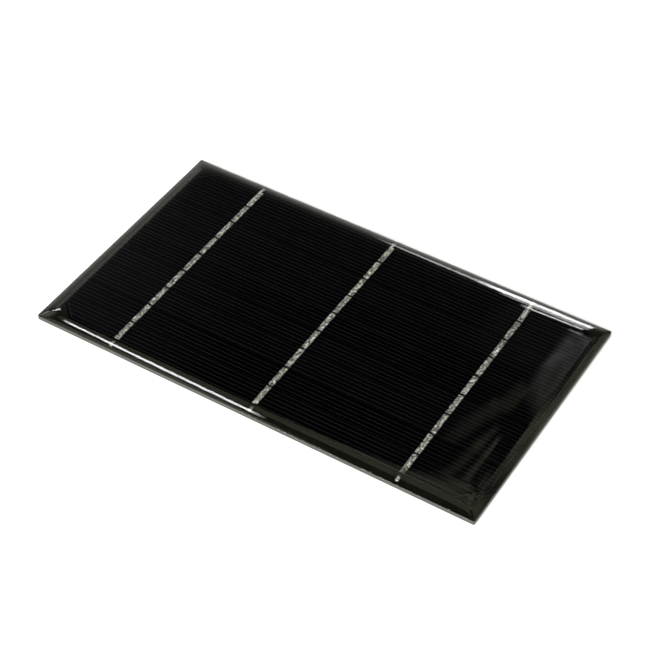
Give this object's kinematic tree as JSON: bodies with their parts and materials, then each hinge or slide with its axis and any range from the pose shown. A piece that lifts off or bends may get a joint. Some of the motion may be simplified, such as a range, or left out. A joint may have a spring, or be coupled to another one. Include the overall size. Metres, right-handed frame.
{
  "type": "solar panel",
  "caption": "Small rigid solar panel: long silicon cell strips in series on a black circuit board, potted under a clear resin dome with a rounded rim.",
  "frame": {"origin": "middle of the board's rear face, which lies on the surface the panel rests on", "axes": "+X along the long side, across the cell strips' busbars; +Y towards the back long edge, where the negative end of the string is; +Z out of the sunny side"},
  "size_m": [0.1588, 0.0934, 0.0029],
  "materials": {
    "board_core": "glass-epoxy laminate with a raw routed edge",
    "solder_mask": "black solder mask, satin",
    "copper": "etched copper foil",
    "solder_finish": "bright hot-air-levelled tin",
    "solder_joint": "dull solder",
    "ribbon": "tinned copper ribbon, blotchy where it was soldered",
    "silicon": "textured, anti-reflection coated monocrystalline silicon",
    "silver_print": "fired silver print, matt; its busbars are tinned and blotchy",
    "rear_contact": "fired aluminium paste, matt dark grey",
    "bonding_film": "thin black adhesive film",
    "resin": "clear cast epoxy, glossy"
  },
  "bodies": {
    "root": {"bonding_films": "bonding_film", "cell_strip_1": "silicon", "cell_strip_2": "silicon", "cell_strip_3": "silicon", "cell_strip_4": "silicon", "cell_strip_5": "silicon", "cell_strip_6": "silicon", "cell_strip_7": "silicon", "cell_strip_8": "silicon", "cell_strip_9": "silicon", "fr4_core": "board_core", "front_grid_1": "silver_print", "front_grid_2": "silver_print", "front_grid_3": "silver_print", "front_grid_4": "silver_print", "front_grid_5": "silver_print", "front_grid_6": "silver_print", "front_grid_7": "silver_print", "front_grid_8": "silver_print", "front_grid_9": "silver_print", "front_solder_mask": "solder_mask", "interconnect_1_2": "ribbon", "interconnect_2_3": "ribbon", "interconnect_3_4": "ribbon", "interconnect_4_5": "ribbon", "interconnect_5_6": "ribbon", "interconnect_6_7": "ribbon", "interconnect_7_8": "ribbon", "interconnect_8_9": "ribbon", "minus_mark": "solder_finish", "negative_end_ribbons": "ribbon", "negative_front_bus": "copper", "negative_rear_trace": "copper", "negative_solder_joints": "solder_joint", "negative_via_barrels": "copper", "negative_wire_pad": "solder_finish", "plus_mark": "solder_finish", "positive_end_ribbons": "ribbon", "positive_front_bus": "copper", "positive_rear_trace": "copper", "positive_solder_joints": "solder_joint", "positive_via_barrels": "copper", "positive_wire_pad": "solder_finish", "rear_contact_1": "rear_contact", "rear_contact_2": "rear_contact", "rear_contact_3": "rear_contact", "rear_contact_4": "rear_contact", "rear_contact_5": "rear_contact", "rear_contact_6": "rear_contact", "rear_contact_7": "rear_contact", "rear_contact_8": "rear_contact", "rear_contact_9": "rear_contact", "rear_solder_mask": "solder_mask", "resin_encapsulant": "resin"}
  },
  "joints": []
}
